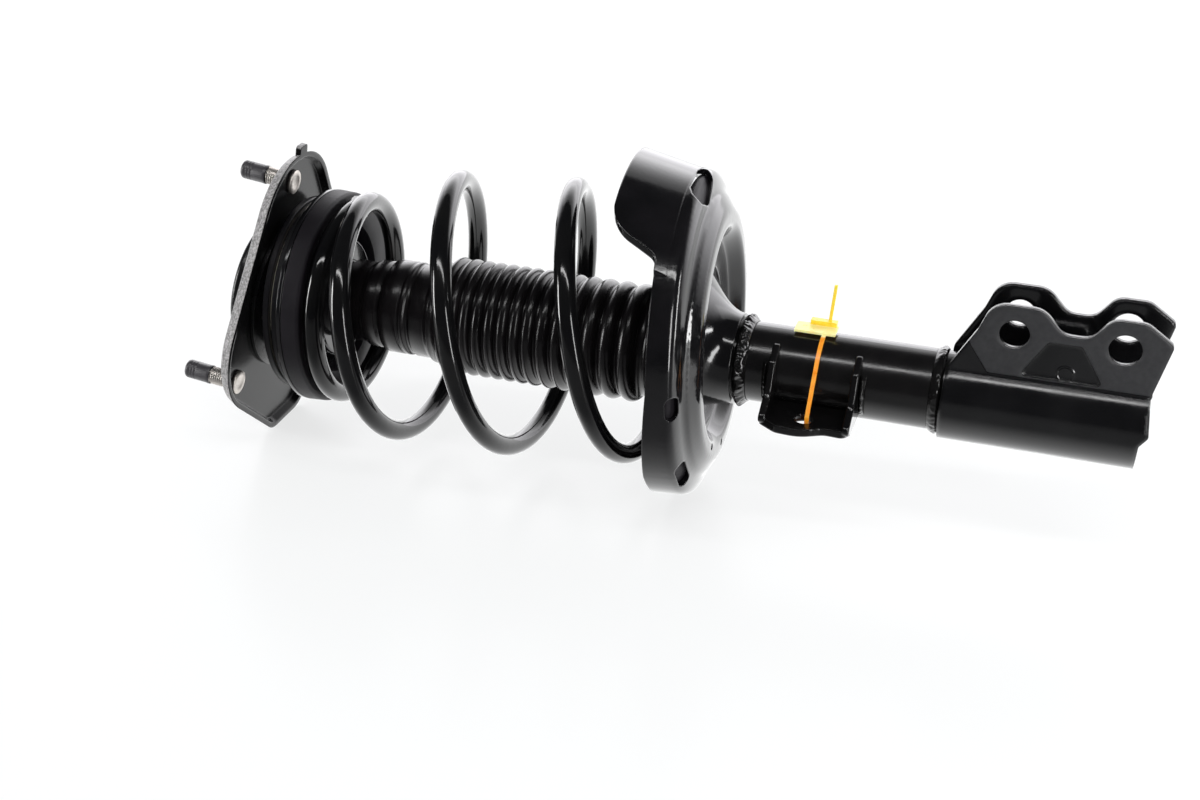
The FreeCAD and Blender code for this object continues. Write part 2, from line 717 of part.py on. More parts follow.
def side_outline():
    """Side view in X and Z: the two bolt lobes on top, the wrap's two ends and its underside."""
    lobe = 15.3
    top = HOLE_Z + lobe
    return [(BRACKET_X0, 0), (BRACKET_X0 + 1, 21, 5), (415.0, 44.0, 14), (421.0, top, 11.5),
            (446.0, top, 12.5), (457.0, 47.4, 9), (470.0, 47.4, 9), (479.5, top, 9), (496.0, top, 9),
            (BRACKET_X1, 50.0, 3), (503.0, 21.0, 12), (505.0, 3.0, 2.5), (501.0, -2.5, 2),
            (499.6, -40), (BRACKET_X0, -40)]


def bracket_section(outer, half_width):
    """Cross-section in Y and Z: open ring round the tube with straight ears on top."""
    meet = math.sqrt(outer ** 2 - half_width ** 2)
    start = at_yz(-half_width, 70)
    left = at_yz(-half_width, meet)
    right = at_yz(half_width, meet)
    end = at_yz(half_width, 70)
    curves = [Part.LineSegment(start, left), Part.Arc(left, at_yz(0, -outer), right),
              Part.LineSegment(right, end), Part.LineSegment(end, start)]
    return Part.Face(Part.Wire([curve.toShape() for curve in curves]))


def knuckle_bracket():
    bore = TUBE_R + SEAT_GAP
    outer = bore + BRACKET_SHEET
    length = BRACKET_X1 + 5 - BRACKET_X0
    inner_half = EAR_GAP / 2
    block = bracket_section(outer, inner_half + BRACKET_SHEET).extrude(V(length, 0, 0))
    block.translate(V(BRACKET_X0, 0, 0))
    block = block.cut(rod(BRACKET_X0 - 1, BRACKET_X1 + 6, bore))
    gap = Part.makeBox(length + 2, EAR_GAP, 80, V(BRACKET_X0 - 1, -inner_half, 0))
    block = block.cut(gap)
    trim = face_of(side_outline(), at_xz).extrude(V(0, 100, 0)).translated(V(0, -50, 0))
    block = block.common(trim)
    window = face_of([(415.5, -14, 8), (481.5, -14, 8), (481.5, 14, 8), (415.5, 14, 8)], at_xy)
    block = block.cut(window.extrude(V(0, 0, -40)))
    for side in (-1, 1):
        block = press_recess(block, side, inner_half)
    for x, r in ((UPPER_HOLE_X, UPPER_HOLE_R), (LOWER_HOLE_X, LOWER_HOLE_R)):
        block = block.cut(Part.makeCylinder(r, 80, V(x, -40, HOLE_Z), V(0, 1, 0)))
    return block.removeSplitter()


def press_recess(block, side, inner_half):
    """Sheet between the two bolt pads, pressed towards the middle by a shallow step."""
    depth = 1.6
    outline = [(450.5, 42.5, 2.5), (466.5, 42.5, 2.5), (479.0, 22.6, 2), (438.5, 22.6, 2)]
    outer_face = inner_half + BRACKET_SHEET

    def slab(near, far, grow):
        ring = []
        for y, extra in ((near, grow), (far, 0)):
            middle = V(458.6, 0, 32.5)
            wire = Part.Wire(rounded_edges(outline, at_xz))
            scale = 1 + extra / 20.0
            matrix = FreeCAD.Matrix()
            matrix.scale(scale, 1, scale)
            moved = wire.translated(middle * -1).transformGeometry(matrix).translated(middle)
            ring.append(moved.translated(V(0, side * y, 0)))
        return Part.makeLoft(ring, True, True)

    boss = slab(inner_half + 0.1, inner_half - depth, 1.2)
    pocket = slab(outer_face + 0.1, outer_face - depth, 1.2)
    return block.fuse(boss).cut(pocket)


def bracket_weld():
    r = TUBE_R + SEAT_GAP
    end = BRACKET_X0 - 0.1
    return turned([(end - 6.4, r), (end - 3.9, r + 1.6, 2), (end, r + 2.8), (end, r)])


# Marker tie: a flat band round the tube and through the link bracket hole

def tie_band(offset):
    """Closed loop in Y and Z at a distance from the tube, drawn out to the hole."""
    r = TUBE_R + 0.7 + offset
    hole_y, top_z, low_z = LINK_HOLE[1], LINK_TOP + 1.5, LINK_TOP - LINK_SHEET - 1.5

    def tangent_from(y, z, turn):
        distance = math.hypot(y, z)
        angle = math.atan2(z, y) + turn * math.acos(r / distance)
        return at_yz(r * math.cos(angle), r * math.sin(angle))

    near_top = at_yz(hole_y - offset, top_z)
    near_low = at_yz(hole_y - offset, low_z - offset)
    upper = tangent_from(near_top.y, near_top.z, -1)
    lower = tangent_from(near_low.y, near_low.z, 1)
    curves = [Part.LineSegment(lower, near_low), Part.LineSegment(near_low, near_top),
              Part.LineSegment(near_top, upper), Part.Arc(upper, at_yz(r, 0), lower)]
    return Part.Wire([curve.toShape() for curve in curves])


def marker_tie():
    width = 2.2
    x = LINK_HOLE[0] + 1.5
    band = Part.Face(tie_band(1.1)).cut(Part.Face(tie_band(0))).extrude(V(width, 0, 0))
    band.translate(V(x - width / 2, 0, 0))
    top = TUBE_R + 0.5
    tag = Part.makeBox(22, 11, 1.3, V(x - 16, -4, top + 0.8))
    head = Part.makeBox(14, 4, 2.6, V(x - 9, 5, top + 2.0))
    tail = Part.makeBox(1.7, 1.0, 22, V(x + 0.2, 6, top + 4))
    tail.rotate(V(x, 6, top + 4), V(0, 1, 0), 4.5)
    shape = band.fuse([tag, head, tail])
    return shape.removeSplitter()


def build():
    add = NODES.__setitem__
    add("outer_tube", outer_tube())
    add("base_cap", base_cap())
    add("working_cylinder", working_cylinder())
    add("base_valve", base_valve())
    add("rod_guide", rod_guide())
    add("rod_seal", rod_seal())
    add("tube_top_cap", tube_cap())
    add("lower_spring_seat", lower_spring_seat())
    add("seat_weld", seat_weld())
    add("lower_spring_pad", lower_spring_pad())
    add("coil_spring", coil_spring())
    add("link_bracket", link_bracket())
    add("link_bracket_welds", link_bracket_welds())
    add("knuckle_bracket", knuckle_bracket())
    add("bracket_weld", bracket_weld())
    add("marker_tie", marker_tie())
    add("piston_rod", piston_rod())
    add("rebound_stop", rebound_stop())
    add("piston", piston())
    add("piston_band", piston_band())
    add("piston_nut", piston_nut())
    add("bump_stop", bump_stop())
    add("mount_plate", mount_plate())
    add("mount_cup", mount_cup())
    add("mount_studs", Part.Compound(around_studs(mount_stud())))
    for k, cap in enumerate(around_studs(stud_cap())):
        add("stud_cap_%d" % (k + 1), cap)
    add("mount_rubber", mount_rubber())
    add("mount_sleeve", mount_sleeve())
    add("rod_washer", rod_washer())
    add("rod_nut", rod_nut())
    add("bearing_upper_race", bearing_upper_race())
    add("bearing_lower_race", bearing_lower_race())
    add("bearing_cage", bearing_cage())
    add("bearing_balls", bearing_balls())
    add("upper_spring_seat", upper_spring_seat())
    add("upper_spring_pad", upper_spring_pad())
    add("dust_boot", dust_boot())


build()
everything = Part.Compound(list(NODES.values()))
box = everything.optimalBoundingBox(False)
shift = V(-(box.XMin + box.XMax) / 2, -(box.YMin + box.YMax) / 2, -box.ZMin)
print("moved by", [round(c, 3) for c in shift], "size", round(box.XLength, 1), round(box.YLength, 1),
      round(box.ZLength, 1))
for name, shape in NODES.items():
    if not shape.isValid() or shape.Volume <= 0 or not shape.Solids:
        print("CHECK", name, shape.ShapeType, round(shape.Volume, 1), shape.isValid(), len(shape.Solids))
    shape.translated(shift).exportStep("parts/%s.step" % name)
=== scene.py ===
import math

import bmesh
import bpy
from mathutils import Matrix, Vector, noise


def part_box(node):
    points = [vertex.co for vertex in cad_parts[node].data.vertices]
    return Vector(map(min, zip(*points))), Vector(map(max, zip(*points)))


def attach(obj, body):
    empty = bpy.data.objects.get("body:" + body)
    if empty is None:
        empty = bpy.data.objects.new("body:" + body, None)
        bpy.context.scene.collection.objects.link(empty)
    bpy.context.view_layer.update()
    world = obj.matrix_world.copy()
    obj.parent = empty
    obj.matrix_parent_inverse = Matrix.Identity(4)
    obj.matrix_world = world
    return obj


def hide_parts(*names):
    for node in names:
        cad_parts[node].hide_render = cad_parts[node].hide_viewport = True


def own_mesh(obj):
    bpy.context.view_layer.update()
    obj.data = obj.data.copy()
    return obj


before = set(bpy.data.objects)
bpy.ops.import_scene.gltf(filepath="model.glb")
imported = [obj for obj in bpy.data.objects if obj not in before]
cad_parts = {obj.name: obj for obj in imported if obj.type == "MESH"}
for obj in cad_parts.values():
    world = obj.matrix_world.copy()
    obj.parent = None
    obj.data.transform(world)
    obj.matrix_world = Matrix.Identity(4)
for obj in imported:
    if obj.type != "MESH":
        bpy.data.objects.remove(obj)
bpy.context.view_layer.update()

# %% [markdown]
# All sizes below are in millimetres along the strut: x runs down the damper from the mount to the
# knuckle bracket, and y and z are measured from the damper's axis. The outer tube starts at
# x = 243, so its box tells where that axis is in the frame.
# %% From strut millimetres to the frame
TUBE_TOP = 243.0
TUBE_R = 21.5
MM = 0.001
tube_low, tube_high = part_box("outer_tube")
tube_middle = (Vector(tube_low) + Vector(tube_high)) / 2
ORIGIN = Vector((tube_low[0] - TUBE_TOP * MM, tube_middle.y, tube_middle.z))
TO_FRAME = Matrix.Translation(ORIGIN) @ Matrix.Scale(MM, 4)
print("strut origin", [round(v, 4) for v in ORIGIN])


def leaning(x, z, slope_y, slope_z):
    """Frame of a piece whose own axis leans by two small slopes."""
    turn = Matrix.Rotation(math.atan(slope_y), 4, "Z") @ Matrix.Rotation(-math.atan(slope_z), 4, "Y")
    return Matrix.Translation((x, 0, z)) @ turn


SEAT_X = 255.0
SEAT = leaning(SEAT_X, 11.0, 0.058, 0.045)
COILS = leaning(SEAT_X, 13.7, 0.058, 0.078)
PLATE = leaning(18.5, 0.0, 0.0, -0.123)
STRAIGHT = Matrix.Identity(4)

# %% [markdown]
# The camera stands where the photographer's did: in front of the link bracket, a little to the
# right, and looking down at the strut. The lens is a short telephoto, so the far end of the
# strut is only slightly smaller than the near one.
# %% Camera
CAMERA_AT = Vector((475.3, -849.2, 423.9))
CAMERA_TURN = math.radians(17.233)
CAMERA_DOWN = math.radians(27.516)
CAMERA_ROLL = math.radians(1.211)
FOCAL_SHARE = 1782.6 / 1200
SENSOR = 36.0

camera_data = bpy.data.cameras.new("camera")
camera_data.sensor_width = SENSOR
camera_data.lens = SENSOR * FOCAL_SHARE
camera_data.clip_start = 0.05
camera = bpy.data.objects.new("camera", camera_data)
bpy.context.scene.collection.objects.link(camera)
camera.matrix_world = (
    Matrix.Translation(TO_FRAME @ CAMERA_AT)
    @ Matrix.Rotation(CAMERA_TURN, 4, "Z")
    @ Matrix.Rotation(math.pi / 2 - CAMERA_DOWN, 4, "X")
    @ Matrix.Rotation(CAMERA_ROLL, 4, "Z")
)
bpy.context.scene.camera = camera
bpy.context.scene.view_settings.view_transform = "Standard"
print("lens", round(camera_data.lens, 2), "mm")

# %% [markdown]
# The object lies on a white table. Most of the table's light is its own, so it stays pale under
# any lamp and still takes a soft shadow from the share that the lamps light. In the paint's
# reflections the table is dark in front of the object, so the faces turned to the viewer stay
# black, and twice as bright behind it, so the undersides glow.
# %% Floor
TABLE_SIZE = 6.0
GLOW_SHARE = 0.72
GLOW_TINT = (0.985, 0.99, 0.99, 1)
TABLE_PAINT = (0.86, 0.875, 0.875, 1)
FRONT_Y, BACK_Y = -0.15, 0.0
FRONT_GLOW, BACK_GLOW = 0.05, 2.0


def link(obj):
    bpy.context.scene.collection.objects.link(obj)
    return obj


def nodes_of(owner):
    """Empty node tree of a material or a world."""
    owner.use_nodes = True
    tree = owner.node_tree
    tree.nodes.clear()
    return tree


def feed(tree, socket, value):
    """Set a socket to a number, or link another socket into it."""
    if isinstance(value, (int, float)):
        socket.default_value = value
    else:
        tree.links.new(value, socket)


def axes(tree, vector):
    """Sockets with x, y and z of a vector."""
    node = tree.nodes.new("ShaderNodeSeparateXYZ")
    tree.links.new(vector, node.inputs[0])
    return node.outputs


def to_range(tree, value, low, high, new_low, new_high, smooth=False):
    """Map a value from one range to another and hold it at the ends."""
    node = tree.nodes.new("ShaderNodeMapRange")
    if smooth:
        node.interpolation_type = "SMOOTHSTEP"
    names = ("From Min", "From Max", "To Min", "To Max")
    for name, number in zip(names, (low, high, new_low, new_high)):
        node.inputs[name].default_value = number
    tree.links.new(value, node.inputs["Value"])
    return node.outputs["Result"]


def mix_shaders(tree, share, first, second):
    node = tree.nodes.new("ShaderNodeMixShader")
    feed(tree, node.inputs["Fac"], share)
    tree.links.new(first, node.inputs[1])
    tree.links.new(second, node.inputs[2])
    return node.outputs[0]


def make_floor():
    mesh = bpy.data.meshes.new("floor")
    bm = bmesh.new()
    bmesh.ops.create_grid(bm, x_segments=2, y_segments=2, size=TABLE_SIZE)
    bm.to_mesh(mesh)
    bm.free()
    floor = link(bpy.data.objects.new("floor", mesh))
    material = bpy.data.materials.new("pale_table")
    tree = nodes_of(material)
    new, join = tree.nodes.new, tree.links.new
    depth = axes(tree, new("ShaderNodeTexCoord").outputs["Object"])["Y"]
    glow = to_range(tree, depth, FRONT_Y, BACK_Y, FRONT_GLOW, BACK_GLOW, smooth=True)
    level = new("ShaderNodeMix")
    level.inputs["A"].default_value = 1.0
    join(new("ShaderNodeLightPath").outputs["Is Glossy Ray"], level.inputs["Factor"])
    join(glow, level.inputs["B"])
    own = new("ShaderNodeEmission")
    own.inputs["Color"].default_value = GLOW_TINT
    join(level.outputs["Result"], own.inputs["Strength"])
    lit = new("ShaderNodeBsdfPrincipled")
    lit.inputs["Base Color"].default_value = TABLE_PAINT
    lit.inputs["Roughness"].default_value = 0.25
    surface = mix_shaders(tree, GLOW_SHARE, lit.outputs[0], own.outputs[0])
    join(surface, new("ShaderNodeOutputMaterial").inputs["Surface"])
    mesh.materials.append(material)


make_floor()
print("floor at z = 0")

# %% [markdown]
# Black gloss paint shows the room more than its own colour. In reflections the room is pale behind
# the object up to about thirty degrees, so that the far edges glow, and dark above and in front,
# so that the faces turned to the viewer stay black. The pale part is brighter than white, so
# reflections don't show the plain white background that the camera sees. Rough surfaces are lit
# by a mid grey, well below white.
# %% Surround
DARK_ROOM = (0.045, 0.046, 0.05, 1)
PALE_ROOM = (0.98, 0.97, 1.0, 1)
PALE_STRENGTH = 3.2
FILL_GREY = (0.42, 0.42, 0.43, 1)
PLAIN_WHITE = (1, 1, 1, 1)


def maths(tree, operation, a, b=None):
    node = tree.nodes.new("ShaderNodeMath")
    node.operation = operation
    feed(tree, node.inputs[0], a)
    if b is not None:
        feed(tree, node.inputs[1], b)
    return node.outputs[0]


def background(tree, colour, strength=1.0):
    node = tree.nodes.new("ShaderNodeBackground")
    node.inputs["Color"].default_value = colour
    node.inputs["Strength"].default_value = strength
    return node.outputs[0]


def make_world():
    world = bpy.data.worlds.new("surround")
    bpy.context.scene.world = world
    tree = nodes_of(world)
    _, depth, height = axes(tree, tree.nodes.new("ShaderNodeTexCoord").outputs["Generated"])
    behind = to_range(tree, depth, 0.3, 0.8, 0.0, 1.0, smooth=True)
    low = to_range(tree, height, 0.3, 0.75, 1.0, 0.0, smooth=True)
    pale = background(tree, PALE_ROOM, PALE_STRENGTH)
    room = mix_shaders(tree, maths(tree, "MULTIPLY", behind, low), background(tree, DARK_ROOM), pale)
    ray = tree.nodes.new("ShaderNodeLightPath").outputs
    soft = mix_shaders(tree, ray["Is Diffuse Ray"], room, background(tree, FILL_GREY))
    seen = mix_shaders(tree, ray["Is Camera Ray"], soft, background(tree, PLAIN_WHITE))
    tree.links.new(seen, tree.nodes.new("ShaderNodeOutputWorld").inputs["Surface"])


make_world()
print("surround", bpy.context.scene.world.name)

# %% [markdown]
# The lamps are long narrow panels, since their reflections are the highlights: one above and a
# little in front draws the line along the tube, and one low on each side draws the lines down the
# coils and the rim of the plate. One off the knuckle's end draws the ridges of the spring seat,
# and a wide soft one behind makes the far edges glow.
# %% Lamps
def panel(name, place, aim, size, power):
    data = bpy.data.lights.new(name, "AREA")
    data.shape = "RECTANGLE"
    data.size, data.size_y = size
    data.energy = power
    lamp = link(bpy.data.objects.new(name, data))
    lamp.location = place
    lamp.rotation_euler = (Vector(aim) - Vector(place)).to_track_quat("-Z", "Y").to_euler()
    lamp.visible_camera = False


LAMPS = [
    ("above_front", (0.1, -0.72, 1.5), (0.0, 0.0, 0.1), (2.2, 0.10), 12),
    ("above_back", (0.0, 1.3, 1.0), (0.0, 0.0, 0.1), (2.8, 0.9), 6),
    ("left_side", (-1.3, -0.5, 0.30), (-0.1, 0.0, 0.1), (0.2, 0.6), 9),
    ("right_side", (1.15, -0.8, 0.42), (0.1, 0.0, 0.1), (0.2, 0.9), 10),
    ("right_end", (1.55, 0.2, 0.35), (0.1, 0.0, 0.1), (0.14, 0.9), 9),
]
for lamp in LAMPS:
    panel(*lamp)
print("lamps", len(LAMPS))

# %% [markdown]
# Most of the strut is pressed steel dipped in gloss black. Such a coat is never flat: it has a
# fine orange peel, slight runs that change the gloss over a few centimetres, and dust in it. One
# maker function builds every coat from those three parts, with its own strength for each piece.
# %% Coats of paint and other finishes
CLOUDS = 38.0
SPECKS = 1500.0
DUST_SHARE = 0.35


def coordinates(tree, stretch=(1.0, 1.0, 1.0), shift=(0.0, 0.0, 0.0)):
    """Place on the object, stretched and then shifted."""
    place = tree.nodes.new("ShaderNodeTexCoord")
    mapping = tree.nodes.new("ShaderNodeMapping")
    mapping.inputs["Scale"].default_value = stretch
    mapping.inputs["Location"].default_value = shift
    tree.links.new(place.outputs["Object"], mapping.inputs["Vector"])
    return mapping.outputs["Vector"]


def noise_of(tree, vector, scale, detail=3.0, roughness=0.5):
    node = tree.nodes.new("ShaderNodeTexNoise")
    node.inputs["Scale"].default_value = scale
    node.inputs["Detail"].default_value = detail
    node.inputs["Roughness"].default_value = roughness
    tree.links.new(vector, node.inputs["Vector"])
    return node.outputs["Fac"]


def ramp(tree, value, stops):
    node = tree.nodes.new("ShaderNodeValToRGB")
    elements = node.color_ramp.elements
    while len(elements) < len(stops):
        elements.new(0.5)
    for element, (where, colour) in zip(elements, stops):
        element.position = where
        element.color = (*colour, 1)
    tree.links.new(value, node.inputs["Fac"])
    return node.outputs["Color"]


def bump(tree, height, strength, distance, normal=None):
    node = tree.nodes.new("ShaderNodeBump")
    node.inputs["Strength"].default_value = strength
    node.inputs["Distance"].default_value = distance
    tree.links.new(height, node.inputs["Height"])
    if normal is not None:
        tree.links.new(normal, node.inputs["Normal"])
    return node.outputs["Normal"]


def mix_colours(tree, share, first, second, blend="MIX"):
    node = tree.nodes.new("ShaderNodeMix")
    node.data_type = "RGBA"
    node.blend_type = blend
    feed(tree, node.inputs["Factor"], share)
    tree.links.new(first, node.inputs["A"])
    tree.links.new(second, node.inputs["B"])
    return node.outputs["Result"]


def new_surface(name):
    """Material, its tree, and the one surface node in it."""
    material = bpy.data.materials.new(name)
    tree = nodes_of(material)
    surface = tree.nodes.new("ShaderNodeBsdfPrincipled")
    output = tree.nodes.new("ShaderNodeOutputMaterial")
    tree.links.new(surface.outputs[0], output.inputs["Surface"])
    return material, tree, surface


def finish_of(name, colour, dusty, rough, peel=0.1, peel_size=900.0, drift=0.05, face_on=0.3,
              edge=0.0, ior=1.8):
    """Surface with a drifting gloss, fine peel and a little dust in its colour.

    face_on is the share of gloss left where it is seen straight on. edge is the width in metres
    over which sharp sheet edges shade as if they were rounded by the coat.
    """
    material, tree, surface = new_surface(name)
    vector = coordinates(tree)
    clouds = noise_of(tree, vector, CLOUDS, 4.0, 0.55)
    specks = noise_of(tree, vector, SPECKS, 2.0, 0.7)
    tint = ramp(tree, clouds, [(0.35, colour), (0.75, dusty)])
    speck = ramp(tree, specks, [(0.66, (0, 0, 0)), (0.76, tuple(c * 1.5 for c in dusty))])
    dusted = mix_colours(tree, DUST_SHARE, tint, speck, "ADD")
    tree.links.new(dusted, surface.inputs["Base Color"])
    gloss = to_range(tree, clouds, 0.3, 0.7, rough - drift, rough + drift)
    tree.links.new(gloss, surface.inputs["Roughness"])
    surface.inputs["IOR"].default_value = ior
    surface.inputs["Specular Tint"].default_value = (face_on, face_on, face_on, 1)
    rounding = None
    if edge:
        rounded = tree.nodes.new("ShaderNodeBevel")
        rounded.samples = 8
        rounded.inputs["Radius"].default_value = edge
        rounding = rounded.outputs["Normal"]
    grain = noise_of(tree, vector, peel_size, 2.0, 0.5)
    tree.links.new(bump(tree, grain, peel, 0.0006, rounding), surface.inputs["Normal"])
    return material


# %% [markdown]
# The studs, the rod and the parts inside are bare or plated metal. Turning leaves fine lines in
# it and plating leaves soft clouds, so two noises are enough: a stretched one for the gloss and
# the bump, and an even one for the colour.
# %% Bare metal
BRUSH_STRETCH = (40.0, 900.0, 900.0)


def brushed(name, colour, dark, rough):
    """Turned or plated bare metal: fine lines round the part and cloudy plating."""
    material, tree, surface = new_surface(name)
    lines = noise_of(tree, coordinates(tree, BRUSH_STRETCH), 2.0, 3.0, 0.6)
    clouds = noise_of(tree, coordinates(tree), 120.0, 4.0, 0.6)
    tint = ramp(tree, clouds, [(0.3, dark), (0.7, colour)])
    tree.links.new(tint, surface.inputs["Base Color"])
    gloss = to_range(tree, lines, 0.3, 0.7, rough * 0.75, rough * 1.35)
    tree.links.new(gloss, surface.inputs["Roughness"])
    surface.inputs["Metallic"].default_value = 1.0
    tree.links.new(bump(tree, lines, 0.12, 0.0003), surface.inputs["Normal"])
    return material


# %% [markdown]
# Each finish is one call with its own numbers: the colour and the dusty colour, the roughness,
# then the strength and fineness of its peel and the gloss that is left straight on. Pressed
# pieces have thick dipped paint, the spring a smooth powder coat, and rubber is dull.
# %% The finishes
gloss_black = finish_of("gloss_black_coat", (0.003, 0.003, 0.0034), (0.006, 0.0055, 0.0065), 0.12,
                        peel=0.03, peel_size=420.0, face_on=0.4, edge=0.0012)
dip_black = finish_of("dipped_black_coat", (0.003, 0.003, 0.0033), (0.006, 0.0055, 0.0055), 0.12,
                      peel=0.35, peel_size=300.0, face_on=0.35, edge=0.0014)
tube_black = finish_of("tube_black_coat", (0.003, 0.003, 0.0033), (0.006, 0.0055, 0.0055), 0.19,
                       peel=0.05, peel_size=700.0, face_on=0.45)
spring_black = finish_of("spring_powder_coat", (0.0025, 0.0025, 0.003), (0.005, 0.005, 0.005), 0.1,
                         peel=0.04, peel_size=350.0, drift=0.03, face_on=0.35)
cup_black = finish_of("cup_black_coat", (0.004, 0.004, 0.0045), (0.009, 0.009, 0.009), 0.26,
                      peel=0.08, peel_size=900.0, face_on=0.3, edge=0.0009)
weld_black = finish_of("painted_weld", (0.003, 0.003, 0.003), (0.007, 0.0065, 0.0065), 0.14,
                       peel=0.2, peel_size=500.0, face_on=0.35)
race_grey = finish_of("bearing_plastic", (0.006, 0.006, 0.007), (0.012, 0.0115, 0.013), 0.4,
                      peel=0.08, peel_size=1200.0, face_on=0.2, ior=1.5)
pad_rubber = finish_of("pad_rubber", (0.007, 0.006, 0.008), (0.013, 0.0115, 0.014), 0.55,
                       peel=0.2, peel_size=1600.0, face_on=0.2, ior=1.5)
boot_rubber = finish_of("boot_rubber", (0.003, 0.0025, 0.003), (0.006, 0.005, 0.0055), 0.24,
                        peel=0.03, peel_size=1100.0, drift=0.03, face_on=0.45, ior=1.6)
mount_rubber = finish_of("mount_rubber", (0.008, 0.008, 0.008), (0.018, 0.017, 0.017), 0.7,
                         peel=0.4, peel_size=1400.0)
cap_grey = finish_of("cap_plastic", (0.028, 0.026, 0.030), (0.045, 0.042, 0.047), 0.4,
                     peel=0.05, peel_size=1500.0, face_on=0.6)
foam = finish_of("bump_stop_foam", (0.42, 0.30, 0.12), (0.55, 0.42, 0.2), 0.8,
                 peel=0.6, peel_size=2200.0)
cage_plastic = finish_of("cage_plastic", (0.4, 0.37, 0.3), (0.5, 0.47, 0.38), 0.45,
                         peel=0.1, peel_size=1200.0)
band_polymer = finish_of("piston_band_polymer", (0.09, 0.05, 0.03), (0.14, 0.08, 0.05), 0.5,
                         peel=0.1, peel_size=1200.0)
zinc = brushed("zinc_plate", (0.78, 0.78, 0.78), (0.6, 0.6, 0.61), 0.26)
plain_steel = brushed("machined_steel", (0.56, 0.56, 0.57), (0.4, 0.4, 0.41), 0.33)
chrome = brushed("hard_chrome", (0.82, 0.83, 0.84), (0.74, 0.75, 0.76), 0.09)
stud_zinc = brushed("stud_zinc", (0.64, 0.60, 0.56), (0.46, 0.43, 0.40), 0.42)
print("finishes", len(bpy.data.materials))

# %% [markdown]
# The ears of the knuckle bracket have flat machined pads round their bolt holes. The press leaves
# them matte and a little proud, with straight slanted ends, and the rest of the sheet is glossy.
# The pads are found from the distance to four planes, and the same mask lifts them in the bump.
# It also lays a dark grey over them: a painted sheen that stands for the pale room that the flat
# pads reflect. A small round gauge mark is pressed in between them.
# %% Knuckle bracket coat
PAD_FACE = 15.4
PAD_LOW = 21.5
PAD_LEFT, LEFT_SLOPE = 625.0, 1.43
PAD_RIGHT, RIGHT_SLOPE = 496.5, 0.283
PAD_DULLER = 0.34
MARK_X, MARK_Z, MARK_R = 460.5, 25.9, 4.2
PER_METRE = 1000


def strut_axes(tree):
    """Sockets with x, y and z in strut millimetres."""
    return axes(tree, coordinates(tree, [PER_METRE] * 3, [-PER_METRE * c for c in ORIGIN]))


def surface_of(material):
    return next(n for n in material.node_tree.nodes if n.type == "BSDF_PRINCIPLED")


def lay_over(tree, surface, share, colour):
    """Blend a colour over the surface's own by a share."""
    paint = surface.inputs["Base Color"]
    tree.links.new(mix_colours(tree, share, paint.links[0].from_socket, colour), paint)


def dull(tree, surface, share, amount):
    """Add roughness to the surface's own by a share."""
    rough = surface.inputs["Roughness"]
    more = maths(tree, "MULTIPLY", share, amount)
    tree.links.new(maths(tree, "ADD", rough.links[0].from_socket, more), rough)


def bracket_finish():
    material = finish_of("bracket_black_coat", (0.003, 0.003, 0.0034), (0.006, 0.006, 0.0065), 0.13,
                         peel=0.04, peel_size=420.0, face_on=0.45, edge=0.004)
    tree = material.node_tree
    surface = surface_of(material)
    x, y, z = strut_axes(tree)
    outside = to_range(tree, maths(tree, "ABSOLUTE", y), PAD_FACE - 0.5, PAD_FACE - 0.15, 0, 1)
    above = to_range(tree, z, PAD_LOW - 0.25, PAD_LOW + 0.25, 0, 1)
    slant = maths(tree, "ADD", maths(tree, "MULTIPLY", x, LEFT_SLOPE), z)
    left = to_range(tree, slant, PAD_LEFT, PAD_LEFT + 0.8, 0, 1)
    lean = maths(tree, "SUBTRACT", x, maths(tree, "MULTIPLY", z, RIGHT_SLOPE))
    right = to_range(tree, lean, PAD_RIGHT, PAD_RIGHT + 0.5, 1, 0)
    between = maths(tree, "MULTIPLY", left, right)
    pad = maths(tree, "MULTIPLY", maths(tree, "MULTIPLY", outside, above), between)
    squares = []
    for value, middle in ((x, MARK_X), (z, MARK_Z)):
        apart = maths(tree, "ABSOLUTE", maths(tree, "SUBTRACT", value, middle))
        squares.append(maths(tree, "POWER", apart, 2))
    away = maths(tree, "SQRT", maths(tree, "ADD", *squares))
    rim = maths(tree, "ABSOLUTE", maths(tree, "SUBTRACT", away, MARK_R))
    relief = maths(tree, "ADD", pad, to_range(tree, rim, 0.2, 0.8, 0.7, 0.0))
    normal = surface.inputs["Normal"]
    tree.links.new(bump(tree, relief, 1.0, 0.0005, normal.links[0].from_socket), normal)
    cloud = noise_of(tree, coordinates(tree), 420.0, 3.0)
    # Painted sheen: a dark grey on the pads, standing for the pale room that they reflect.
    painted_sheen_grey = ramp(tree, cloud, [(0.3, (0.018, 0.018, 0.020)), (0.7, (0.025, 0.025, 0.027))])
    lay_over(tree, surface, pad, painted_sheen_grey)
    dull(tree, surface, pad, PAD_DULLER)
    return material


bracket_black = bracket_finish()
print("finish", bracket_black.name)

# %% [markdown]
# The mount plate is glossy inside its tray, and the outside of the turned rim is satin. That
# outside is also painted a mottled pale grey: a painted sheen for the floor and the left lamp
# shining in it. The rim is told from the tray by the way its surface faces: outwards, away from
# the plate's middle.
# %% Mount plate coat
RIM_DULLER = 0.2


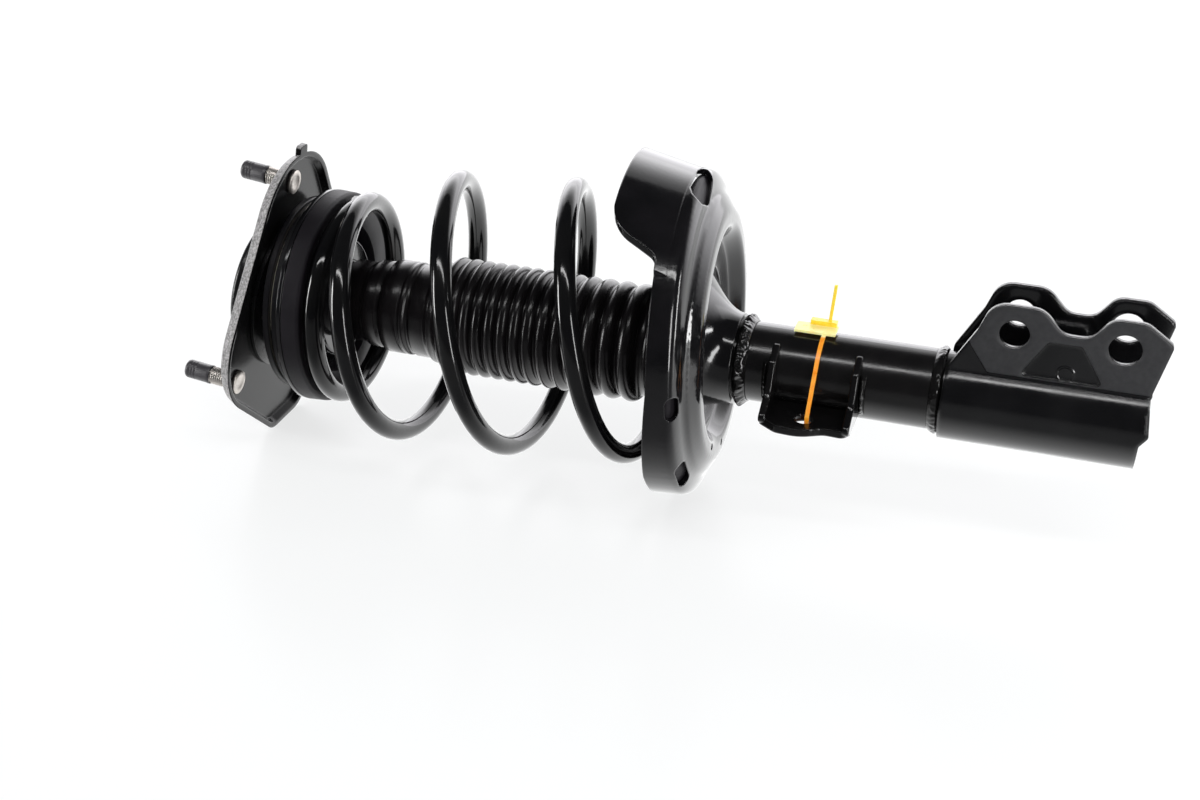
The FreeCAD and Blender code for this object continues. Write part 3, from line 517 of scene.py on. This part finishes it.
def plate_finish():
    material = finish_of("plate_black_coat", (0.003, 0.003, 0.0034), (0.006, 0.006, 0.006), 0.17,
                         peel=0.05, peel_size=900.0, face_on=0.12, edge=0.0014, ior=1.28)
    tree = material.node_tree
    surface = surface_of(material)
    _, y, z = strut_axes(tree)
    flat = tree.nodes.new("ShaderNodeCombineXYZ")
    tree.links.new(y, flat.inputs["Y"])
    tree.links.new(z, flat.inputs["Z"])
    away = tree.nodes.new("ShaderNodeVectorMath")
    away.operation = "NORMALIZE"
    tree.links.new(flat.outputs[0], away.inputs[0])
    facing = tree.nodes.new("ShaderNodeVectorMath")
    facing.operation = "DOT_PRODUCT"
    tree.links.new(away.outputs[0], facing.inputs[0])
    tree.links.new(tree.nodes.new("ShaderNodeNewGeometry").outputs["True Normal"], facing.inputs[1])
    outward = to_range(tree, facing.outputs["Value"], 0.35, 0.75, 0, 1)
    blotches = noise_of(tree, coordinates(tree), 700.0, 5.0, 0.65)
    painted_sheen_blotches = to_range(tree, blotches, 0.3, 0.65, 0.45, 1.0)
    # Painted sheen: pale grey blotches on the rim's outside, for the floor and lamp that it reflects.
    painted_sheen_grey = ramp(tree, blotches, [(0.3, (0.18, 0.175, 0.175)), (0.7, (0.46, 0.45, 0.45))])
    lay_over(tree, surface, maths(tree, "MULTIPLY", outward, painted_sheen_blotches), painted_sheen_grey)
    dull(tree, surface, outward, RIM_DULLER)
    return material


plate_black = plate_finish()
print("finish", plate_black.name)

# %% [markdown]
# The marker tie is moulded in one shot, but its thin tag and tail let the light through and look
# yellow, while the strap stays orange. The colour changes with the height above the tube.
# %% Marker tie plastic
TAG_LOW = TUBE_R + 1.1
TAG_TOP = TUBE_R + 2.65


def tie_finish():
    material, tree, surface = new_surface("tie_plastic")
    height = strut_axes(tree)[2]
    vector = coordinates(tree)
    clouds = noise_of(tree, vector, 260.0, 3.0, 0.5)
    strap = ramp(tree, clouds, [(0.3, (0.95, 0.27, 0.01)), (0.7, (1.0, 0.38, 0.02))])
    tag = ramp(tree, clouds, [(0.3, (1.0, 0.84, 0.30)), (0.7, (1.0, 0.92, 0.48))])
    tail = ramp(tree, clouds, [(0.3, (1.0, 0.66, 0.03)), (0.7, (1.0, 0.76, 0.08))])
    colour = strap
    for level, following in ((TAG_LOW, tag), (TAG_TOP, tail)):
        share = to_range(tree, height, level - 0.1, level + 0.1, 0, 1)
        colour = mix_colours(tree, share, colour, following)
    tree.links.new(colour, surface.inputs["Base Color"])
    tree.links.new(to_range(tree, clouds, 0.3, 0.7, 0.26, 0.4), surface.inputs["Roughness"])
    surface.inputs["Subsurface Weight"].default_value = 0.35
    surface.inputs["Subsurface Scale"].default_value = 0.002
    surface.inputs["Subsurface Radius"].default_value = (1.0, 0.6, 0.2)
    grain = noise_of(tree, vector, 900.0, 2.0, 0.5)
    tree.links.new(bump(tree, grain, 0.05, 0.0005), surface.inputs["Normal"])
    return material


tie_plastic = tie_finish()
print("finish", tie_plastic.name)

# %% [markdown]
# Every node that keeps its solid only changes its material. The table says which.
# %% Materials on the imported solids
COATS = {
    gloss_black: ["lower_spring_seat", "upper_spring_seat"],
    dip_black: ["link_bracket"],
    bracket_black: ["knuckle_bracket"],
    tube_black: ["outer_tube", "base_cap"],
    spring_black: ["coil_spring"],
    plate_black: ["mount_plate"],
    cup_black: ["mount_cup"],
    weld_black: ["seat_weld", "bracket_weld", "link_bracket_welds"],
    race_grey: ["bearing_upper_race", "bearing_lower_race"],
    pad_rubber: ["upper_spring_pad", "lower_spring_pad", "rod_seal"],
    boot_rubber: ["dust_boot"],
    mount_rubber: ["mount_rubber"],
    cap_grey: ["stud_cap_1", "stud_cap_2", "stud_cap_3"],
    tie_plastic: ["marker_tie"],
    foam: ["bump_stop"],
    cage_plastic: ["bearing_cage"],
    band_polymer: ["piston_band"],
    zinc: ["mount_sleeve", "rod_washer", "rod_nut", "tube_top_cap"],
    stud_zinc: ["mount_studs"],
    plain_steel: ["working_cylinder", "base_valve", "rod_guide", "rebound_stop", "piston", "piston_nut",
                  "bearing_balls"],
    chrome: ["piston_rod"],
}
for material, names in COATS.items():
    for name in names:
        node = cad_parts[name]
        for slot_holder in node.material_slots:
            slot_holder.material = material
        if not node.material_slots:
            node.data.materials.append(material)
print("coated", sum(len(names) for names in COATS.values()), "nodes")

# %% [markdown]
# Turned and moulded pieces are lathe work: a half outline is drawn in x and r and spun once round
# the axis. The spin closes on itself, so its last ring is merged with the first.
# %% Lathe
def finished(name, bm, material, body, place=STRAIGHT):
    """Put a bmesh in strut millimetres into the frame as a piece that rides on a body."""
    bmesh.ops.transform(bm, matrix=TO_FRAME @ place, verts=bm.verts)
    mesh = bpy.data.meshes.new(name)
    bm.to_mesh(mesh)
    bm.free()
    for face in mesh.polygons:
        face.use_smooth = True
    mesh.materials.append(material)
    piece = link(bpy.data.objects.new(name, mesh))
    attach(piece, body)
    return piece


def spun(outline, steps, angle=math.tau, closed=True, merge=True, step=0.0):
    """Spin an outline of x and r round the axis, and move it along by a step each time."""
    bm = bmesh.new()
    ring = [bm.verts.new((x, 0, r)) for x, r in outline]
    pairs = list(zip(ring, ring[1:])) + ([(ring[-1], ring[0])] if closed else [])
    edges = [bm.edges.new(pair) for pair in pairs]
    bmesh.ops.spin(bm, geom=ring + edges, cent=(0, 0, 0), axis=(1, 0, 0), dvec=(step, 0, 0),
                   angle=angle, steps=steps, use_merge=merge, use_duplicate=False)
    return bm


def sealed(bm, within):
    """Merge points that lie closer than this, and turn all faces outwards."""
    bmesh.ops.remove_doubles(bm, verts=bm.verts, dist=within)
    bmesh.ops.recalc_face_normals(bm, faces=bm.faces)
    return bm


def lathe(outline, steps, closed=True):
    return sealed(spun(outline, steps, closed=closed), 1e-4)


# %% [markdown]
# The spring is one round wire. Its middle line is square to the rod at the head, leans with
# the coils, and lies flush in the seat at the foot. A curve with a round bevel follows that line,
# and is turned into a mesh, since the wire has one thickness all along. The two free coils stand
# a few millimetres higher at the top than the even circle of the solid.
# %% Coil spring
WIRE_R = 5.75
COIL_R = 70.9
HEAD_X = 62.9
FOOT_X = 266.0
END_STUB = 11.5
STATIONS = [(-1.0, HEAD_X, 52.6), (-0.5, HEAD_X, 53.0), (0.0, 77.4, 60.9), (0.5, 101.3, 68.2),
            (1.0, 134.2, COIL_R + 4.2), (1.5, 168.3, COIL_R), (2.0, 200.5, COIL_R + 2.4),
            (2.5, 235.0, COIL_R),
            (3.0, 260.3, COIL_R), (3.25, FOOT_X, COIL_R), (3.75, FOOT_X, COIL_R)]


def between_stations(turn, k):
    """Smooth, never overshooting value between two stations."""
    rise = [(b[k] - a[k]) / (b[0] - a[0]) for a, b in zip(STATIONS, STATIONS[1:])]
    inner = [2 * a * b / (a + b) if a * b > 0 else 0 for a, b in zip(rise, rise[1:])]
    slopes = [rise[0]] + inner + [rise[-1]]
    i = max(j for j in range(len(STATIONS) - 1) if turn >= STATIONS[j][0] - 1e-9)
    width = STATIONS[i + 1][0] - STATIONS[i][0]
    u = (turn - STATIONS[i][0]) / width
    a, b = STATIONS[i][k], STATIONS[i + 1][k]
    ma, mb = slopes[i] * width, slopes[i + 1] * width
    return a + u * ma + u * u * (3 * (b - a) - 2 * ma - mb) + u ** 3 * (2 * (a - b) + ma + mb)


def ease(value, low, high):
    u = min(max((value - low) / (high - low), 0), 1)
    return u * u * (3 - 2 * u)


def wire_middle(turn):
    along, radius = between_stations(turn, 1), between_stations(turn, 2)
    angle = math.tau * turn
    local = Vector((along - SEAT_X, -radius * math.sin(angle), radius * math.cos(angle)))
    head = local + Vector((SEAT_X, 0, 0))
    coils = COILS @ local
    foot = SEAT @ local
    point = head + (coils - head) * ease(turn, -0.9, 0.3)
    return point + (foot - coils) * ease(turn, 2.4, 3.25)


def tube_along(points, radius, sides, name):
    """Mesh of a round wire through the points, closed at its ends."""
    curve = bpy.data.curves.new(name, "CURVE")
    curve.dimensions = "3D"
    spline = curve.splines.new("POLY")
    spline.points.add(len(points) - 1)
    for target, point in zip(spline.points, points):
        target.co = (*(TO_FRAME @ point), 1)
    curve.bevel_depth = radius * MM
    curve.bevel_resolution = max(sides // 4 - 1, 0)
    curve.use_fill_caps = True
    holder = link(bpy.data.objects.new(name, curve))
    mesh = bpy.data.meshes.new_from_object(holder)
    bpy.data.objects.remove(holder)
    return mesh


def make_spring():
    first, last, steps_per_turn = STATIONS[0][0], STATIONS[-1][0], 64
    count = round((last - first) * steps_per_turn)
    points = [wire_middle(first + i / steps_per_turn) for i in range(count + 1)]
    head_way = (points[0] - points[1]).normalized()
    foot_way = (points[-1] - points[-2]).normalized()
    points = [points[0] + head_way * END_STUB] + points + [points[-1] + foot_way * END_STUB]
    mesh = tube_along(points, WIRE_R, 28, "spring")
    bm = bmesh.new()
    bm.from_mesh(mesh)
    sealed(bm, 1e-6).to_mesh(mesh)
    bm.free()
    for face in mesh.polygons:
        face.use_smooth = len(face.vertices) <= 4
    mesh.materials.append(spring_black)
    piece = link(bpy.data.objects.new("spring", mesh))
    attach(piece, "strut")
    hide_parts("coil_spring")
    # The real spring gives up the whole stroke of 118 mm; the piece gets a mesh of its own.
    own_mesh(piece)
    print("spring faces", len(mesh.polygons))


make_spring()

# %% [markdown]
# The boot is blown rubber: a neck that grips the hub of the upper seat, a wider collar with a
# groove, and fourteen bellows that grow wider towards the tube. Each bellows is round on top and
# narrow in its valley, so its outline is a run of half waves instead of straight flanks.
# %% Dust boot
BOOT_BORE = 24.9
VALLEY_R = 28.6
RIB_R = 32.6
RIBS = [127.0 + 7.28 * k for k in range(8)] + [186.6, 195.0, 203.8, 213.2, 223.2, 234.0]


def rib_outline(points_per_rib=14):
    """Outline over the bellows, valley to valley."""
    outline = []
    for i, middle in enumerate(RIBS):
        before = (middle - RIBS[i - 1]) / 2 if i else (RIBS[1] - middle) / 2
        after = (RIBS[i + 1] - middle) / 2 if i + 1 < len(RIBS) else before
        for k in range(points_per_rib):
            u = -1 + 2 * k / points_per_rib
            x = middle + u * (before if u < 0 else after)
            crown = math.cos(u * math.pi / 2) ** 0.62 if abs(u) < 1 else 0.0
            outline.append((x, VALLEY_R + (RIB_R - VALLEY_R) * crown))
    last = RIBS[-1] + (RIBS[-1] - RIBS[-2]) / 2
    return outline + [(last, VALLEY_R)]


def make_boot():
    neck = [(64.0, 21.6), (64.0, 22.6), (64.5, 23.0), (75.5, 23.0), (77.0, 23.3), (78.6, 24.6),
            (79.6, 24.8), (85.0, 24.8), (86.0, 24.6), (87.0, 23.6), (87.6, 23.5), (88.3, 24.3),
            (88.9, 25.9), (89.8, 26.5), (99.2, 26.5), (99.8, 26.2), (100.4, 25.7), (101.0, 26.2),
            (101.6, 26.5), (103.2, 26.5), (103.8, 26.1), (104.2, 25.4), (105.5, 25.15),
            (106.8, 25.4), (107.2, 26.1), (107.8, 26.5), (115.5, 26.5), (116.6, 26.7),
            (118.6, 28.4), (119.5, VALLEY_R)]
    foot = [(243.5, VALLEY_R), (244.2, 29.4), (245.3, 29.6), (246.0, 29.2), (246.0, 26.0),
            (245.6, BOOT_BORE + 0.1)]
    bore = [(119.5, BOOT_BORE + 0.1), (90.0, BOOT_BORE), (88.3, 21.6)]
    bm = lathe(neck + rib_outline() + foot + bore, steps=112)
    piece = finished("boot", bm, boot_rubber, "upper_seat")
    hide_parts("dust_boot")
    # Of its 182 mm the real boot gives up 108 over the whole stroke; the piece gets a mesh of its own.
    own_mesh(piece)
    print("boot faces", len(piece.data.polygons))


make_boot()

# %% [markdown]
# A rubber pad lies between the foot of the spring and the pressed seat. It is moulded with a lip
# that stands up outside the wire, so the coil can't walk off it, and the lip is what shows as
# dark rubber behind the window in the seat's shoulder.
# %% Lower spring pad
def make_lower_pad():
    outline = [(16.9, 65.2), (21.5, 65.2), (21.6, 66.4), (19.3, 74.2), (16.7, 78.4), (13.4, 83.9),
               (12.1, 85.1), (8.9, 85.1), (8.2, 84.3), (8.5, 81.8), (11.4, 79.7), (14.4, 78.5),
               (16.6, 77.4), (16.9, 76.8)]
    piece = finished("lower_pad", lathe(outline, steps=120), pad_rubber, "strut", SEAT)
    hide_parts("lower_spring_pad")
    print("lower pad faces", len(piece.data.polygons))


make_lower_pad()

# %% [markdown]
# The lower seat is pressed in one stroke, and the press rolls its shoulder into soft ridges: a
# rounded one round the dish and a shallow valley outside it. The solid has plain cones there.
# A copy of its mesh is cut fine over the shoulder, pushed along the seat's axis by a smooth
# function of the radius, and eased, so both faces of the sheet move together.
# %% Lower spring seat
SHOULDER_IN, SHOULDER_OUT, SHOULDER_ABOVE = 55, 90, 6
CUT_LENGTH, CUT_ROUNDS = 2.4, 7
SHARP_ANGLE = math.radians(40)
EASE_ROUNDS = 4
RIDGES = [(67.0, 3.6, 1.5), (77.6, 3.2, -1.3)]


def shoulder_rise(radius):
    return sum(height * math.exp(-((radius - middle) / width) ** 2)
               for middle, width, height in RIDGES)


def on_shoulder(vert):
    radius = math.hypot(vert.co.y, vert.co.z)
    return SHOULDER_IN < radius < SHOULDER_OUT and vert.co.x > SHOULDER_ABOVE


def make_seat():
    bm = bmesh.new()
    bm.from_mesh(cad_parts["lower_spring_seat"].data)
    bmesh.ops.transform(bm, matrix=(TO_FRAME @ SEAT).inverted(), verts=bm.verts)
    sealed(bm, 2e-4)
    for _ in range(CUT_ROUNDS):
        long_edges = [e for e in bm.edges if e.calc_length() > CUT_LENGTH
                      and on_shoulder(e.verts[0]) and on_shoulder(e.verts[1])]
        if not long_edges:
            break
        bmesh.ops.subdivide_edges(bm, edges=long_edges, cuts=1)
        bmesh.ops.triangulate(bm, faces=[f for f in bm.faces if len(f.verts) > 3])
    for edge in bm.edges:
        edge.smooth = edge.is_manifold and edge.calc_face_angle() < SHARP_ANGLE
    fixed = {v for e in bm.edges if not e.smooth for v in e.verts}
    for vert in bm.verts:
        if on_shoulder(vert):
            vert.co.x += shoulder_rise(math.hypot(vert.co.y, vert.co.z))
    soft = [v for v in bm.verts if on_shoulder(v) and v not in fixed]
    for _ in range(EASE_ROUNDS):
        bmesh.ops.smooth_vert(bm, verts=soft, factor=0.5, use_axis_x=True, use_axis_y=True,
                              use_axis_z=True)
    piece = finished("spring_seat", bm, gloss_black, "strut", SEAT)
    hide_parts("lower_spring_seat")
    print("seat faces", len(piece.data.polygons))


make_seat()

# %% [markdown]
# A weld bead is laid in small overlapping puddles, so it has ripples all along, lumps where the
# hand or the robot paused, and is never quite the same height. The bead starts as an arched
# outline spun round the tube. Its points are then pushed in and out by a ripple and by noise.
# %% Weld beads
ON_TUBE = TUBE_R + 0.05
END_FADE = 0.14


def arch(x_low, x_high, foot, height, count=12, lean=0.5):
    """Half outline of a bead: up from one toe, over the crown and down to the other toe."""
    outline = []
    for k in range(count + 1):
        u = k / count
        x = x_low + (x_high - x_low) * u
        skew = u ** (math.log(0.5) / math.log(lean))
        outline.append((x, foot + height * math.sin(math.pi * skew) ** 0.8))
    return outline


def bead(x_low, x_high, height, ripples, seed, start=0.0, sweep=360.0, lean=0.5, rough=0.5):
    """Rippled bead on the tube from a start angle over a sweep, angles from the top."""
    whole = sweep > 359
    bm = spun(arch(x_low, x_high, ON_TUBE, height, lean=lean), max(int(sweep * 1.1), 24),
              math.radians(sweep), merge=whole)
    bmesh.ops.remove_doubles(bm, verts=bm.verts, dist=1e-4)
    if not whole:
        bmesh.ops.holes_fill(bm, edges=bm.edges, sides=0)
    bmesh.ops.recalc_face_normals(bm, faces=bm.faces)
    for vert in bm.verts:
        angle = math.atan2(-vert.co.y, vert.co.z) % math.tau
        radius = math.hypot(vert.co.y, vert.co.z)
        rise = (radius - ON_TUBE) / height
        if rise < 0.02:
            continue
        along = (vert.co.x - x_low) / (x_high - x_low)
        spot = Vector((vert.co.x * 0.2 + seed, vert.co.y * 0.24, vert.co.z * 0.24))
        drift = noise.noise(spot * 0.6)
        wave = abs(math.sin((angle * ripples + along * 1.6 + drift * 4) / 2)) ** 0.7 - 0.6
        lump = noise.noise(spot) + 0.6 * noise.noise(spot * 2.3)
        end = 1.0
        if not whole:
            end = min(angle / END_FADE, (math.radians(sweep) - angle) / END_FADE, 1.0)
            end = math.sqrt(max(end, 0.05))
        swell = (0.95 + 0.06 * wave + rough * lump) * end
        factor = (ON_TUBE + (radius - ON_TUBE) * max(swell, 0.2)) / radius
        vert.co = Vector((vert.co.x, vert.co.y * factor, vert.co.z * factor))
    turn = Matrix.Rotation(math.radians(start), 4, "X")
    bmesh.ops.transform(bm, matrix=turn, verts=bm.verts)
    return bm


def merged(parts):
    """One bmesh of several."""
    whole = bmesh.new()
    for part in parts:
        mesh = bpy.data.meshes.new("part")
        part.to_mesh(mesh)
        part.free()
        whole.from_mesh(mesh)
        bpy.data.meshes.remove(mesh)
    return whole


def make_welds():
    around_neck = bead(291.2, 298.6, 3.2, 34, 3.1, lean=0.4, rough=0.4)
    seat = finished("neck_weld", around_neck, weld_black, "strut")
    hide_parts("seat_weld")
    around_wrap = bead(394.8, 400.9, 1.7, 44, 8.4, lean=0.6, rough=0.3)
    wrap = finished("wrap_weld", around_wrap, weld_black, "strut")
    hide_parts("bracket_weld")
    feet = [bead(307.4, 310.95, 2.9, 58, 12.7, 62, 62, rough=0.3),
            bead(359.05, 362.6, 2.9, 58, 17.2, 62, 62, rough=0.3)]
    pair = finished("flange_welds", merged(feet), weld_black, "strut")
    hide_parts("link_bracket_welds")
    print("weld faces", [len(piece.data.polygons) for piece in (seat, wrap, pair)])


make_welds()

# %% [markdown]
# The studs are pressed into the plate from behind: a flat head in the tray, then a rolled thread
# on the outside. The thread is one outline of a single pitch, spun with a step along the axis, so
# it is a true screw line. It sits on a plain core that closes its ends.
# %% Mount studs
PITCH = 1.25
THREAD_TURNS = 9
HEAD_FACE = 3.7
STUD_CIRCLE_R = 67.5
STUDS = 3


def screw_thread(x_start, root, crest, turns, steps=24):
    outline = [(0.0, root), (-0.34, crest), (-0.62, crest), (-PITCH, root)]
    bm = spun([(x_start + x, r) for x, r in outline], steps * turns, math.tau * turns,
              closed=False, merge=False, step=-PITCH / steps)
    return sealed(bm, 1e-3)


def one_stud():
    core = lathe([(HEAD_FACE - 0.25, 0), (HEAD_FACE - 0.2, 3.4), (HEAD_FACE, 3.8), (HEAD_FACE, 6.2),
                  (HEAD_FACE - 0.2, 6.6), (HEAD_FACE - 0.55, 6.85), (1.6, 6.85), (1.6, 5.4),
                  (-1.4, 5.4), (-1.6, 4.9), (-2.0, 4.35), (-13.4, 4.35), (-26.6, 4.35),
                  (-27.6, 3.4), (-27.6, 0)], steps=48, closed=False)
    return merged([core, screw_thread(-1.7, 4.3, 4.97, THREAD_TURNS)])


def around_studs(maker, k):
    bm = maker()
    bmesh.ops.transform(bm, matrix=Matrix.Translation((0, 0, STUD_CIRCLE_R)), verts=bm.verts)
    turn = Matrix.Rotation(math.radians(360 / STUDS * k), 4, "X")
    bmesh.ops.transform(bm, matrix=turn, verts=bm.verts)
    return bm


def make_studs():
    studs = merged([around_studs(one_stud, k) for k in range(STUDS)])
    piece = finished("threaded_studs", studs, stud_zinc, "mount", PLATE)
    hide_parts("mount_studs")
    print("stud faces", len(piece.data.polygons))


make_studs()

# %% [markdown]
# The caps keep paint and dirt off the threads. Each is a thin moulded sleeve with a domed end,
# sink marks of three shallow grip rings, and a thicker lip at its mouth. Each rides on its own
# body, because it pulls off by hand.
# %% Stud caps
def one_cap():
    outer = [(-28.9, 0), (-28.88, 3.0), (-28.7, 4.1), (-28.2, 4.8), (-27.4, 5.18)]
    for middle in (-25.6, -23.9, -22.2):
        outer += [(middle - 0.35, 5.22), (middle - 0.15, 5.12), (middle + 0.15, 5.12),
                  (middle + 0.35, 5.22)]
    outer += [(-15.6, 5.2), (-15.3, 5.3), (-13.7, 5.3), (-13.45, 5.15), (-13.4, 4.5), (-27.65, 4.5),
              (-27.65, 0)]
    return lathe(outer, steps=64, closed=False)


def make_caps():
    for k in range(STUDS):
        name = "stud_cap_%d" % (k + 1)
        piece = finished("cap_shell_%d" % (k + 1), around_studs(one_cap, k), cap_grey, name, PLATE)
        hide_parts(name)
    print("caps", STUDS)


make_caps()
